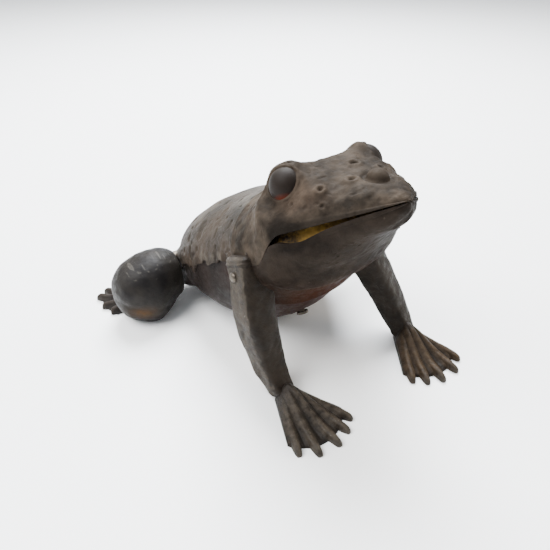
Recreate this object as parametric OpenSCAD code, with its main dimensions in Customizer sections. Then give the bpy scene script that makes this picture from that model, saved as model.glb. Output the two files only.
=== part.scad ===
/* [Body] */
// Length of the body along its own axis, from rump to neck
body_len = 86; // [80:1:92]
// Widest width of the body
body_w = 67; // [62:1:72]
// Height of the back above the seam
back_rise = 24; // [22:0.5:28]
// Depth of the belly below the seam
belly_drop = 29; // [26:0.5:32]
// Angle of the body's axis above level
pitch = 31; // [28:1:34]
// Height above the ground of the point that the body is pitched about
seat_z = 25.6; // [24:0.2:28]
// Thickness of the pressed sheet
skin = 0.6; // [0.4:0.1:0.9]
// Clear gap between two lapped sheets
lap_gap = 0.3; // [0.2:0.05:0.5]
/* [Head] */
// Length of the head from its collar to the snout
head_len = 55.5; // [52:0.5:60]
// Widest width of the head
head_w = 60; // [56:1:64]
// Height of the crown above the mouth
head_rise = 20; // [18:0.5:22]
// Depth of the throat below the mouth
jaw_drop = 28.5; // [26:0.5:31]
// Opening between the lips at the corners of the mouth
lip_gap = 2.6; // [1.5:0.1:3.5]
// Diameter of an eye
eye_d = 11; // [9:0.5:12]
/* [Legs] */
// Thickness of the forearm at the elbow
arm_d = 13; // [10:0.5:15]
// Thickness of a toe
toe_d = 3.4; // [2.6:0.2:4.2]
// Clear distance from the body's widest place to a thigh
side_gap = 0.4; // [0.3:0.1:3]
// Width of a folded hind leg, across the frog
thigh_w = 28.5; // [25:0.5:30]
// Length of a folded hind leg
thigh_len = 27; // [24:1:30]
// Height of a folded hind leg
thigh_h = 28; // [25:1:30]
// How far the hind legs swing when they kick, in degrees
kick_angle = 20; // [10:1:22]
/* [Clockwork] */
// Width between the two motor plates
motor_w = 21; // [20.6:0.2:23]
// Thickness of a motor plate
plate_t = 1.2; // [0.8:0.1:1.6]
// Tooth size of the whole train, as pitch diameter per tooth
gear_module = 0.5; // [0.48:0.01:0.52]
// Teeth on the great wheel
great_teeth = 48; // [44:2:50]
// Teeth on the second wheel
second_teeth = 40; // [36:2:42]
// Teeth on the cam wheel
cam_teeth = 30; // [26:2:32]
// Radius of the winding arbor
arbor_r = 1.5; // [1.2:0.1:1.8]
// Radius of the hip axle
hip_r = 1.5; // [1.2:0.1:1.8]
// Radial play of a shaft in its bore
shaft_play = 0.05; // [0.02:0.01:0.08]
// Reach of the cam's lobe from its own axis
lobe_r = 5.2; // [4:0.1:5.4]
// Distance across the wings of the key
key_span = 17; // [12:0.5:18]

/* [Hidden] */
$fn = 48;

seat_y = 21;                       // the point that the body is pitched about, from the middle of the footprint
body_back = 42;                    // from the rump to that point, along the body
head_u = body_len - 13;            // where the head's collar starts, from the rump
mouth_n = 8.3;                     // height of the mouth above the seam

// ---- smooth curve through rows [place, value, value...] ----
function row_of(rows, s, i = 0) =
  i >= len(rows) - 2 || s < rows[i + 1][0] ? i : row_of(rows, s, i + 1);
function tangent(rows, i, k) =
  let(a = max(i - 1, 0), b = min(i + 1, len(rows) - 1)) (rows[b][k] - rows[a][k]) / (rows[b][0] - rows[a][0]);
function along(rows, s, k) =
  let(i = row_of(rows, s), h = rows[i + 1][0] - rows[i][0], t = min(max((s - rows[i][0]) / h, 0), 1))
  (2*t*t*t - 3*t*t + 1) * rows[i][k] + (t*t*t - 2*t*t + t) * h * tangent(rows, i, k)
  + (3*t*t - 2*t*t*t) * rows[i + 1][k] + (t*t*t - t*t) * h * tangent(rows, i + 1, k);
function bend(c, p) = sign(c) * pow(abs(c), 2 / p);
function dome(s) = sqrt(max(0, 1 - pow(1 - min(max(s, 0), 1), 2)));
function ramp(t) = let(c = min(max(t, 0), 1)) c * c * (3 - 2 * c);

// ---- body: [share of its length, shares of half width, rise and drop] ----
body_rows = [[0, 0.66, 0.77, 0.22], [0.16, 0.85, 0.87, 0.39], [0.32, 0.985, 0.96, 0.65], [0.48, 1, 1, 0.95],
             [0.64, 0.94, 0.955, 0.99], [0.80, 0.88, 0.917, 0.79], [0.9, 0.857, 0.892, 0.58],
             [1, 0.836, 0.867, 0.45]];
rump_cap = 16;                     // length of the rump's round end
body_round = 2.2;                  // squareness of the cross-section, 2 is an ellipse
function body_pt(u, a, d) =
  let(s = u / body_len, c = dome((u + d) / (rump_cap + d)),
      w = (along(body_rows, s, 1) * body_w / 2 + d) * c,
      h = (cos(a) >= 0 ? along(body_rows, s, 2) * back_rise + d : along(body_rows, s, 3) * belly_drop + d) * c)
  [w * bend(sin(a), body_round), body_back - u, h * bend(cos(a), body_round)];
function body_drop_at(y) = along(body_rows, (body_back - y) / body_len, 3) * belly_drop;
function body_side_n(y, x, size, k) =
  let(s = (body_back - y) / body_len, c = dome((body_back - y) / rump_cap),
      w = along(body_rows, s, 1) * body_w / 2)
  along(body_rows, s, k) * size * c * pow(1 - pow(x / (w * c), body_round), 1 / body_round);
function body_side_at(y, n) =
  let(s = (body_back - y) / body_len, c = dome((body_back - y) / rump_cap),
      h = (n >= 0 ? along(body_rows, s, 2) * back_rise : along(body_rows, s, 3) * belly_drop) * c)
  along(body_rows, s, 1) * body_w / 2 * c * pow(1 - pow(abs(n) / h, body_round), 1 / body_round);

// ---- head: [share of its length from the snout, shares of half width, rise and drop] ----
head_rows = [[0, 0.12, 0.18, 0.10], [0.07, 0.25, 0.26, 0.13], [0.16, 0.37, 0.35, 0.17], [0.28, 0.52, 0.49, 0.27],
             [0.42, 0.73, 0.69, 0.42], [0.55, 0.87, 0.90, 0.56], [0.72, 0.93, 0.975, 0.74],
             [0.86, 0.955, 0.965, 0.88], [1, 0.985, 0.88, 1]];
snout_cap = 9;                     // length of the snout's round end
head_round = 2.3;
hood = [6.6, 0.58, 42, 8, 15];   // brow: height, place, angle, length, width in degrees
brow = hood[0];
collar_from = 0.5;                 // share of the head's length where it starts to follow the body
collar_to = 0.74;                  // share of the head's length from which it laps over the body
function head_pt(s, a, d, gap = 0) =
  let(c = dome((s * head_len + d) / (snout_cap + d)),
      g = cos(a) >= 0
        ? brow * exp(-pow((s - hood[1]) * head_len / hood[3], 2) - pow((abs(a) - hood[2]) / hood[4], 2)) : 0,
      w = (along(head_rows, s, 1) * head_w / 2 + d) * c,
      h = (cos(a) >= 0 ? along(head_rows, s, 2) * head_rise + d : along(head_rows, s, 3) * jaw_drop + d) * c,
      own = [w * bend(sin(a), head_round), body_back - head_u - head_len + s * head_len,
             mouth_n + h * bend(cos(a), head_round)],
      over = body_pt(head_u + (1 - s) * head_len, a, back_out + lap_gap + d),
      k = ramp((s - collar_from) / (collar_to - collar_from)))
  own * (1 - k) + over * k + [g * bend(sin(a), head_round), 0, g * bend(cos(a), head_round) - gap];
function lips(s) = lap_gap + lip_gap * ramp((0.60 - s) / 0.10) * (0.35 + 1.1 * min(s, 0.5));

// the body's own frame: +Y runs back along its axis, +Z is away from the belly
module on_axis() { translate([0, seat_y, seat_z]) rotate([-pitch, 0, 0]) children(); }
function to_world(p) = [p[0], seat_y + p[1] * cos(pitch) + p[2] * sin(pitch),
                        seat_z - p[1] * sin(pitch) + p[2] * cos(pitch)];
module both_sides() { children(); mirror([1, 0, 0]) children(); }
// a flat outline in the plane across the frog, from x0 to x1
module across(x0, x1) { translate([x0, 0, 0]) rotate([90, 0, 90]) linear_extrude(x1 - x0) children(); }
module rod(c, r, x0, x1) { translate([x0, c[0], c[1]]) rotate([0, 90, 0]) cylinder(r = r, h = x1 - x0); }

// ---- closed sheet between an outer and an inner grid, each with one pole ----
module sheet(outer, inner, flip = false) {
  m = len(outer);
  n = len(outer[0]);
  pts = concat([outer[0][0], inner[0][0]], [for (i = [1:m-1]) each outer[i]],
               [for (i = [1:m-1]) each inner[i]]);
  function o(i, j) = 2 + (i - 1) * n + j;
  function q(i, j) = 2 + (m - 2 + i) * n + j;
  function quad(a, b, c, d) = [[a, b, c], [a, c, d]];
  faces = concat(
    [for (j = [0:n-2]) each [[0, o(1, j), o(1, j+1)], [1, q(1, j+1), q(1, j)]]],
    [for (i = [1:m-2]) for (j = [0:n-2]) each concat(
      quad(o(i, j), o(i+1, j), o(i+1, j+1), o(i, j+1)), quad(q(i, j+1), q(i+1, j+1), q(i+1, j), q(i, j)))],
    [for (j = [0:n-2]) each quad(o(m-1, j), q(m-1, j), q(m-1, j+1), o(m-1, j+1))],
    quad(0, 1, q(1, 0), o(1, 0)), quad(1, 0, o(1, n-1), q(1, n-1)),
    [for (i = [1:m-2]) each concat(
      quad(o(i, 0), q(i, 0), q(i+1, 0), o(i+1, 0)), quad(q(i, n-1), o(i, n-1), o(i+1, n-1), q(i+1, n-1)))]);
  polyhedron(pts, flip ? faces : [for (f = faces) [f[2], f[1], f[0]]], convexity = 8);
}
rows_n = 19;
cols_n = 20;
function body_places(d) =
  [for (i = [0:rows_n]) let(t = i / rows_n) -d + (body_len + d) * (0.25 * t + 0.75 * t * t)];
function head_places(d) = [for (i = [0:rows_n]) let(t = i / rows_n)
  -d / head_len + (1 + d / head_len) * (0.5 * t + 0.5 * t * t)];
function half_turn(from, lap) = [for (j = [0:cols_n]) from - lap + (180 + 2 * lap) * j / cols_n];
function body_grid(from, lap, d) =
  [for (u = body_places(d)) [for (a = half_turn(from, lap)) body_pt(u, a, d)]];
back_lap = 5;                      // degrees that the back laps down past the seam
belly_lap = 3;                     // degrees that the belly reaches up inside the back
back_out = lap_gap + skin;
thigh_x = body_w / 2 + back_out + side_gap;  // from the middle of the frog to the inner face of a thigh

// ---- places of the train, as [y, z] in the body's frame ----
winding_at = [-7.5, -6];
hip_at = [23.6, 5.6];
pinion_teeth = 10;
fly_teeth = 8;
wheel_top = 0.9;                   // height of a tooth above the pitch circle, as a share of the module
leaf_top = 0.6;
tooth_root = 1.2;
function step_from(p, teeth_a, teeth_b, angle) =
  p + gear_module * (teeth_a + teeth_b) / 2 * [cos(angle), sin(angle)];
second_dir = 50;
cam_dir = -32;
fly_dir = -75;
second_at = step_from(winding_at, great_teeth, pinion_teeth, second_dir);
cam_at = step_from(second_at, second_teeth, pinion_teeth, cam_dir);
fly_at = step_from(cam_at, cam_teeth, fly_teeth, fly_dir);
great_tip = gear_module * (great_teeth / 2 + wheel_top);
second_tip = gear_module * (second_teeth / 2 + wheel_top);
plate_in = motor_w / 2;
plate_out = plate_in + plate_t;
plate_low = winding_at[1] - great_tip - 3;
plate_high = second_at[1] + second_tip + 3;
inside_gap = 1.5;                  // between the motor plates and the shells
function plate_top(y) = min(plate_high, body_side_n(y, plate_out, back_rise, 2) - inside_gap);
function plate_bottom(y) = -min(-plate_low, body_side_n(y, plate_out, belly_drop, 3) - skin - inside_gap);
plate_ends = [-25, 29];
pillar_in = 3.5;                   // from the edge of a plate to the middle of a pillar
pillar_at = [[-20, plate_top(-20) - pillar_in], [-21, plate_bottom(-21) + pillar_in],
             [25, plate_bottom(25) + pillar_in], [15, plate_top(15) - pillar_in]];
pillar_r = 1.6;
stud_r = 1.0;
pivot_r = 0.8;
staff_r = 1.2;
end_gap = 0.4;                     // end shake between a shoulder and its plate
seat_gap = 0.02;                   // between a shaft and a piece fixed to it
gear_t = 1.2;
great_x = 3 - plate_in;            // right-hand face of each wheel
ratchet_x = great_x + gear_t + 0.2;
cam_wheel_x = 0.9 - plate_in;
cam_wheel_t = 1;
second_x = plate_in - 2.4;
cam_x = -2;
cam_t = 2;
spring_x = [-3.6, second_x - 0.6];

module back_shell() {
  color("dimgray") on_axis() difference() {
    sheet(body_grid(-90, back_lap, back_out), body_grid(-90, back_lap, lap_gap));
    rod(hip_at, bush_r + 0.05, -body_w, body_w);
  }
}
bush_r = hip_r + 1.5;
hole_r = arbor_r + 0.6;            // clearance hole for the winding arbor
screw_r = 1.2;
screw_at = [-14, -5];
module belly_shell() {
  color("saddlebrown") on_axis() difference() {
    sheet(body_grid(90, belly_lap, 0), body_grid(90, belly_lap, -skin));
    rod(winding_at, hole_r, -body_w, body_w);
    for (y = screw_at) translate([0, y, -2 * belly_drop]) cylinder(r = screw_r + 0.15, h = belly_drop * 2 - 10);
  }
}

// ---- head ----
eye_s = 0.485;                     // share of the head's length from snout to eye
eye_at = [16, body_back - head_u - head_len + eye_s * head_len + 4.6, mouth_n + 13.9];
eye_gap = 0.05;                    // between an eye and the edge of its hole
module eye_axis(side) {
  translate([side * eye_at[0], eye_at[1], eye_at[2]]) rotate([0, 0, -side * 24])
    rotate([0, side * 66, 0]) children();
}
function head_grid(from, d, jaw) = [for (s = head_places(d)) [for (a = half_turn(from, 0))
  head_pt(s, a, d, jaw ? lips(max(s, 0)) : 0)]];
module head_shell() {
  color("gray") on_axis() difference() {
    sheet(head_grid(-90, skin, false), head_grid(-90, 0, false), true);
    for (side = [-1, 1]) eye_axis(side) {
      sphere(eye_d / 2 + eye_gap);
      cylinder(r = eye_d / 2 + eye_gap, h = 30);
    }
  }
}
module jaw_shell() {
  color("dimgray") on_axis() sheet(head_grid(90, skin, true), head_grid(90, 0, true), true);
}
mouth_in = 1.0;                    // how far the mouth's floor stands back from the lips
module mouth_plate() {
  places = [for (i = [1:10]) 0.02 + 0.62 * i / 10];
  edge = [for (s = places) let(p = head_pt(s, 90, 0)) [p[0] - mouth_in, p[1]]];
  tip = head_pt(0.02, 90, 0);
  color("goldenrod") on_axis() translate([0, 0, mouth_n - 1.3]) linear_extrude(0.9)
    polygon(concat([[0, tip[1] + mouth_in * 0.4]], edge, [for (i = [9:-1:0]) [-edge[i][0], edge[i][1]]]));
}
module eye(side) {
  color("black") on_axis() eye_axis(side) {
    sphere(eye_d / 2);
    translate([0, 0, -eye_d / 2 - 2]) cylinder(r = 1.2, h = 4);
  }
}
module right_eye() { eye(-1); }
module left_eye() { eye(1); }

// ---- forelegs: points are [x, y, z, radius] from the middle of the footprint ----
function grow(p, d) = [p[0], p[1], p[2], p[3] + d];
module ball(p) { translate([p[0], p[1], p[2]]) sphere(p[3], $fn = 16); }
module link(a, b) { hull() { ball(a); ball(b); } }
module chain(ps) { for (i = [0:len(ps)-2]) link(ps[i], ps[i+1]); }
arm_r = arm_d / 2;
toe_r = toe_d / 2;
half_w = body_w / 2;                   // the forelegs stand as far apart as the body is wide
right_arm = [[5.5 - half_w, -11, 42, arm_r], [3 - half_w, -18.5, 28, arm_r],
             [3.5 - half_w, -25.5, 12, arm_r * 0.84], [4 - half_w, -32, 4.5, arm_r * 0.7]];
left_arm = [[half_w - 13.5, -12.5, 37, arm_r * 1.1], [half_w - 9.2, -19.5, 27, arm_r * 0.92],
            [half_w - 4.9, -27, 14, arm_r * 0.8], [half_w - 3.5, -34, 5, arm_r * 0.7]];
toe_ends = [[half_w + 5.5, -57.5], [half_w - 0.3, -61.3], [half_w - 8.2, -61.8], [half_w - 14.2, -59.4],
            [half_w - 18.5, -55.8]];
ankle = [half_w - 3.9, -34];
knuckle = 0.62;                    // share of the way from the ankle where the web stops
function on_foot(t, share, r, z) =
  [ankle[0] + (t[0] - ankle[0]) * share, ankle[1] + (t[1] - ankle[1]) * share, z, r];
module foot(side) {
  mirror([side < 0 ? 1 : 0, 0, 0]) for (i = [0:4]) {
    k = on_foot(toe_ends[i], knuckle, toe_r * 1.15, toe_r);
    link(on_foot(toe_ends[i], 0.05, toe_r * 1.9, toe_r * 1.6), k);
    link(k, on_foot(toe_ends[i], 1, toe_r * 0.85, toe_r * 0.7));
    if (i < 4) hull() {
      ball(on_foot(toe_ends[i], knuckle + 0.12, toe_r * 0.45, toe_r * 0.45));
      ball(on_foot(toe_ends[i + 1], knuckle + 0.12, toe_r * 0.45, toe_r * 0.45));
      ball(on_foot(toe_ends[i], 0.05, toe_r, toe_r));
    }
  }
}
limb_wall = 0.9;
// the whole body as one solid, standing out by d from the belly's skin
module body_mass(d) {
  on_axis() hull() for (side = [-90, 90]) sheet(body_grid(side, 0, d), body_grid(side, 0, d - skin));
}
module foreleg(arm, side) {
  difference() {
    union() {
      chain(arm);
      foot(side);
    }
    chain([for (i = [0:2]) grow(arm[i], -limb_wall)]);
    link(grow(arm[0], -limb_wall), [arm[0][0] * 0.6, arm[0][1] + 6, arm[0][2], arm_r - limb_wall]);
    body_mass(back_out + 2 * lap_gap + skin);
    translate([-100, -100, -20]) cube([200, 200, 20]);
  }
}
module right_foreleg() { color("darkslategray") foreleg(right_arm, -1); }
module left_foreleg() { color("darkslategray") foreleg(left_arm, 1); }

rivet_r = 1;
rivet_head = 1.9;
module shoulder_rivet(arm, side) {
  x = abs(arm[0][0]) + arm[0][3];
  translate([0, arm[0][1], arm[0][2]]) rotate([0, side * 90, 0]) {
    translate([0, 0, x - 6]) cylinder(r = rivet_r, h = 6.2);
    translate([0, 0, x + 0.2]) rotate_extrude() intersection() {
      translate([0, -1.2]) circle(r = rivet_head + 0.3);
      square([4, 4]);
    }
  }
}
module shoulder_rivets() {
  color("gray") shoulder_rivet(right_arm, -1);
  color("gray") shoulder_rivet(left_arm, 1);
}

// ---- clockwork frame ----
module plate(side) {
  ys = [for (i = [0:6]) plate_ends[0] + (plate_ends[1] - plate_ends[0]) * i / 6];
  x = side < 0 ? -plate_out : plate_in;
  color("silver") on_axis() difference() {
    across(x, x + plate_t) polygon(concat([for (y = ys) [y, plate_top(y)]],
                                          [for (i = [6:-1:0]) [ys[i], plate_bottom(ys[i])]]));
    rod(winding_at, arbor_r + shaft_play, x - 1, x + plate_t + 1);
    rod(hip_at, hip_r + shaft_play, x - 1, x + plate_t + 1);
    for (p = [second_at, cam_at, fly_at]) rod(p, pivot_r + shaft_play, x - 1, x + plate_t + 1);
    for (p = pillar_at) rod(p, stud_r + shaft_play, x - 1, x + plate_t + 1);
  }
}
module right_motor_plate() { plate(-1); }
module left_motor_plate() { plate(1); }
nut_t = 1.6;
module pillars() {
  color("silver") on_axis() for (p = pillar_at) {
    rod(p, pillar_r, -plate_in, plate_in);
    rod(p, stud_r, -plate_out - nut_t - 0.4, plate_out + nut_t + 0.4);
  }
}
module nut(p, x, r, across_flats) {
  difference() {
    translate([x, p[0], p[1]]) rotate([0, 90, 0]) cylinder(r = across_flats / sqrt(3), h = nut_t, $fn = 6);
    rod(p, r + seat_gap, x - 1, x + nut_t + 1);
  }
}
module pillar_nuts() {
  color("gold") on_axis() for (p = pillar_at) {
    nut(p, plate_out, stud_r, 3.6);
    nut(p, -plate_out - nut_t, stud_r, 3.6);
  }
}
bar_t = 2.5;
bar_w = 5;
boss_r = 3;
boss_gap = 1.2;                    // from the end of a boss to the curved shell
module mount_bars() {
  color("silver") on_axis() for (y = screw_at) difference() {
    union() {
      translate([-plate_in, y - bar_w / 2, plate_low]) cube([motor_w, bar_w, bar_t]);
      translate([0, y, -body_drop_at(y) + skin + boss_gap])
        cylinder(r = boss_r, h = body_drop_at(y) - skin - boss_gap + plate_low + bar_t / 2);
    }
    translate([0, y, -2 * belly_drop]) cylinder(r = screw_r + seat_gap, h = 2 * belly_drop);
  }
}
screw_head = 2.4;
head_t = 1;
head_gap = 0.6;                    // from the curved shell to the flat underside of a screw's head
module belly_screws() {
  color("gray") on_axis() for (y = screw_at) difference() {
    union() {
      translate([0, y, -body_drop_at(y) - head_gap - head_t]) cylinder(r = screw_head, h = head_t);
      translate([0, y, -body_drop_at(y) - 1]) cylinder(r = screw_r, h = body_drop_at(y) + 1 + plate_low + bar_t);
    }
    translate([-4, y - 0.35, -body_drop_at(y) - head_gap - head_t - 1]) cube([8, 0.7, 1.5]);
  }
}

// ---- springs ----
function spiral(r0, r1, turns, n) = [for (i = [0:n]) let(t = i / n, r = r0 + (r1 - r0) * t)
  r * [cos(360 * turns * t), sin(360 * turns * t)]];
strip_t = 0.35;
spring_out = gear_module * 19.6;
module mainspring() {
  turns = 6;
  n = 20 * turns;
  inner = spiral(arbor_r + 0.5, spring_out - strip_t, turns, n);
  outer = spiral(arbor_r + 0.5 + strip_t, spring_out, turns, n);
  color("steelblue") on_axis() across(spring_x[0], spring_x[1]) translate(winding_at)
    polygon(concat(inner, [for (i = [n:-1:0]) outer[i]]));
}
wire_r = 0.3;
module coil(c, x0, x1, r, turns) {
  steps = 12 * turns;
  sides = 6;
  pts = [for (i = [0:steps]) let(a = 360 * turns * i / steps) for (k = [0:sides-1])
    let(q = r + wire_r * cos(360 * k / sides))
    [x0 + (x1 - x0) * i / steps + wire_r * sin(360 * k / sides), c[0] + q * cos(a), c[1] + q * sin(a)]];
  polyhedron(pts, concat([[for (k = [sides-1:-1:0]) k]], [[for (k = [0:sides-1]) steps * sides + k]],
    [for (i = [0:steps-1]) for (k = [0:sides-1]) let(a = i * sides + k, b = i * sides + (k + 1) % sides)
      each [[a, b + sides, a + sides], [a, b, b + sides]]]), convexity = 10);
}
module return_spring() { color("steelblue") on_axis() coil(hip_at, 2.2, 7.4, hip_r + 0.9, 6); }

// ---- hip ----
thigh_gap = 0.4;
module hip_bushes() {
  color("gold") both_sides() on_axis() difference() {
    rod(hip_at, bush_r, body_side_at(hip_at[0], hip_at[1]) - 4, thigh_x - hip_boss_t - thigh_gap);
    rod(hip_at, hip_r + shaft_play, 0, body_w);
  }
}
module hip_axle() { color("silver") on_axis() rod(hip_at, hip_r, -thigh_x - 3.4, thigh_x + 3.4); }
lever_low = hip_at[1] - 1.3;
module kick_lever() {
  tip = cam_at[0] - 1.5;
  color("silver") on_axis() difference() {
    union() {
      rod(hip_at, hip_r + 1.6, cam_x - 0.6, cam_x + cam_t + 0.6);
      across(cam_x, cam_x + cam_t) polygon([[tip, lever_low + 0.6], [tip + 0.8, lever_low], [hip_at[0], lever_low],
                                            [hip_at[0], lever_low + 3.4], [tip, lever_low + 2.2]]);
    }
    rod(hip_at, hip_r + seat_gap, -body_w, body_w);
  }
}
thigh_mid = [38.4, thigh_h * 0.45];    // middle of a folded leg, [y, z] above the ground
thigh_turn = 118;                  // degrees from its outer end round to its inner rim
thigh_round = 2.25;
thigh_cols = 26;
function thigh_pt(t, a, d) =
  let(p = thigh_turn * t, r = pow(max(sin(p), 0), 0.8))
  [thigh_x + (thigh_w + d) * (cos(p) - cos(thigh_turn)) / (1 - cos(thigh_turn)),
   thigh_mid[0] + (thigh_len / 2 + d) * r * bend(cos(a), thigh_round),
   max(thigh_mid[1] + (thigh_h * 0.55 + d) * r * bend(sin(a), thigh_round), -min(d, 0))];
function thigh_grid(d) = [for (t = [0, 0.09, 0.2, 0.34, 0.48, 0.62, 0.76, 0.88, 1])
  [for (j = [0:thigh_cols-1]) thigh_pt(t, 360 * j / thigh_cols, d)]];
// closed cup between an outer and an inner grid of rings, open past the last ring
module cup(outer, inner) {
  m = len(outer);
  n = len(outer[0]);
  pts = concat([outer[0][0], inner[0][0]], [for (i = [1:m-1]) each outer[i]],
               [for (i = [1:m-1]) each inner[i]]);
  function o(i, j) = 2 + (i - 1) * n + j % n;
  function q(i, j) = 2 + (m - 2 + i) * n + j % n;
  polyhedron(pts, concat(
    [for (j = [0:n-1]) each [[0, o(1, j+1), o(1, j)], [1, q(1, j), q(1, j+1)]]],
    [for (i = [1:m-2]) for (j = [0:n-1]) each [
      [o(i, j), o(i, j+1), o(i+1, j+1)], [o(i, j), o(i+1, j+1), o(i+1, j)],
      [q(i, j), q(i+1, j+1), q(i, j+1)], [q(i, j), q(i+1, j), q(i+1, j+1)]]],
    [for (j = [0:n-1]) each [[o(m-1, j), o(m-1, j+1), q(m-1, j+1)], [o(m-1, j), q(m-1, j+1), q(m-1, j)]]]),
    convexity = 6);
}
module on_side(side) { mirror([side < 0 ? 1 : 0, 0, 0]) children(); }
module thigh(side) { color("darkslategray") on_side(side) cup(thigh_grid(0), thigh_grid(-skin)); }
module right_thigh() { thigh(-1); }
module left_thigh() { thigh(1); }
hip_boss_r = 7.5;
hip_boss_t = 1.3;                  // how far the round boss stands in from the thigh towards the body
hip_plug_r = min(4, thigh_len * 0.15); // of the boss's end inside the thigh
module thigh_plate(side) {
  rim = [for (p = thigh_grid(-skin - 0.05)[8]) [p[1], p[2]]];
  h = to_world([0, hip_at[0], hip_at[1]]);
  color("dimgray") on_side(side) difference() {
    union() {
      across(thigh_x + 0.2, thigh_x + 1.2) polygon(rim);
      translate([thigh_x - hip_boss_t, h[1], h[2]]) rotate([0, 90, 0]) {
        cylinder(r = hip_boss_r, h = hip_boss_t - seat_gap);
        cylinder(r = hip_plug_r, h = hip_boss_t + 1);
      }
    }
    translate([0, h[1], h[2]]) rotate([0, 90, 0]) cylinder(r = hip_r + seat_gap, h = body_w);
  }
}
module right_thigh_plate() { thigh_plate(-1); }
module left_thigh_plate() { thigh_plate(1); }
hind_root = [54, 47];
hind_toes = [[55.5, 61.8], [61.5, 61.9], [66, 59.2], [66.4, 51.5], [64.6, 45.6]];
function to_toe(t, share, r, z) = [hind_root[0] + (t[0] - hind_root[0]) * share,
                                   hind_root[1] + (t[1] - hind_root[1]) * share, z, r];
module hind_foot(side) {
  color("darkslategray") on_side(side) difference() {
    for (i = [0:4]) {
      k = to_toe(hind_toes[i], 0.6, toe_r, toe_r * 0.9);
      link(to_toe(hind_toes[i], 0, toe_r * 1.7, toe_r * 1.5), k);
      link(k, to_toe(hind_toes[i], 1, toe_r * 0.8, toe_r * 0.7));
    }
    hull() cup(thigh_grid(0.05), thigh_grid(-skin));
    translate([-100, -100, -20]) cube([200, 200, 20]);
  }
}
module right_hind_foot() { hind_foot(-1); }
module left_hind_foot() { hind_foot(1); }
module hip_nuts() { color("silver") on_axis() both_sides() nut(hip_at, thigh_x + 1.25, hip_r, 5); }

// ---- winding group ----
key_off = 3;                       // from the flank to the key
hub_len = 8;
side_x = body_side_at(winding_at[0], winding_at[1]);
module winding_arbor() {
  color("silver") on_axis() {
    rod(winding_at, arbor_r, -side_x + 0.3, side_x + key_off + hub_len - 1);
    for (x = [-plate_in + end_gap, plate_in - end_gap - 1.2]) rod(winding_at, arbor_r + 0.9, x, x + 1.2);
  }
}
click_teeth = 12;
ratchet_r = 5;
ratchet_deep = 1;
module ratchet_wheel() {
  color("gold") on_axis() difference() {
    across(ratchet_x, ratchet_x + gear_t) translate(winding_at)
      polygon([for (i = [0:click_teeth-1]) each [
        ratchet_r * [cos(360 * i / click_teeth), sin(360 * i / click_teeth)],
        (ratchet_r - ratchet_deep) * [cos(360 * i / click_teeth + 4), sin(360 * i / click_teeth + 4)]]]);
    rod(winding_at, arbor_r + seat_gap, -body_w, body_w);
  }
}
hub_r = arbor_r + 1.4;
module key_hub() {
  x = side_x + key_off;
  color("silver") on_axis() difference() {
    rod(winding_at, hub_r, x, x + hub_len);
    rod(winding_at, arbor_r + seat_gap, x - 1, x + hub_len - 0.9);
  }
}
bow_t = 1.2;
module key_bow() {
  x = side_x + key_off + hub_len;
  wing = key_span / 4;
  color("silver") on_axis() translate([x, winding_at[0] + bow_t / 2, winding_at[1]]) rotate([90, 0, 0])
    linear_extrude(bow_t) difference() {
      union() {
        translate([0, -1.6]) square([wing * 1.6, 3.2]);
        for (side = [-1, 1]) translate([wing * 1.05, side * wing]) circle(r = wing);
      }
      for (side = [-1, 1]) translate([wing * 1.05, side * wing]) circle(r = wing * 0.45);
    }
}

// ---- gears ----
function tooth(z, k, top, width) =
  let(c = 360 * k / z, hp = width * 180 / z, r = gear_module * z / 2, ra = r + top * gear_module,
      rf = r - tooth_root * gear_module)
  [for (p = [[rf, -1.2], [r, -1], [r + 0.6 * (ra - r), -0.72], [ra, -0.35],
             [ra, 0.35], [r + 0.6 * (ra - r), 0.72], [r, 1], [rf, 1.2]])
    p[0] * [cos(c + hp * p[1]), sin(c + hp * p[1])]];
wheel_tooth = 0.44;                // width of a tooth as a share of the pitch
leaf_tooth = 0.40;
module toothed(z, top, width) { polygon([for (k = [0:z-1]) each tooth(z, k, top, width)]); }
// a wheel fixed to a staff, turned so that a tooth points along dir
module wheel(c, teeth, x, t, bore, dir, holes) {
  r = gear_module * teeth / 2;
  difference() {
    across(x, x + t) translate(c) rotate(dir) difference() {
      toothed(teeth, wheel_top, wheel_tooth);
      for (i = [0:holes-1]) rotate(360 * i / holes + 30) translate([r * 0.58, 0]) circle(r = r * 0.2);
    }
    rod(c, bore, x - 1, x + t + 1);
  }
}
// a staff with pivots and a pinion, turned so that a gap faces dir
module staff(c, teeth, x, t, dir) {
  rod(c, staff_r, -plate_in + end_gap, plate_in - end_gap);
  rod(c, pivot_r, -plate_out, plate_out);
  across(x, x + t) translate(c) rotate(dir + 180 / teeth) toothed(teeth, leaf_top, leaf_tooth);
}
rivet_gap = 0.05;
click_r = 0.62 * gear_module * great_teeth / 2 + 0.4;
click_angle = 100;
click_at = winding_at + click_r * [cos(click_angle), sin(click_angle)];
pin_r = 0.6;
spring_pin = winding_at + click_r * 1.12 * [cos(click_angle + 62), sin(click_angle + 62)];
module great_wheel() {
  color("gold") on_axis() difference() {
    wheel(winding_at, great_teeth, great_x, gear_t, arbor_r + shaft_play, second_dir, 0);
    for (p = [click_at, spring_pin]) rod(p, pin_r + seat_gap, great_x - 1, great_x + gear_t + 1);
    for (a = [-110:50:90]) if (a < 60)
      rod(winding_at + 0.66 * gear_module * great_teeth / 2 * [cos(a), sin(a)], 2.1, great_x - 1, great_x + gear_t + 1);
  }
}
module click_rivet() {
  color("silver") on_axis() {
    rod(click_at, pin_r, great_x, ratchet_x + gear_t + 0.3);
    rod(click_at, pin_r + 0.6, ratchet_x + gear_t + 0.1, ratchet_x + gear_t + 0.6);
    rod(spring_pin, pin_r, great_x, ratchet_x + gear_t);
  }
}
click_clear = 0.15;
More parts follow.
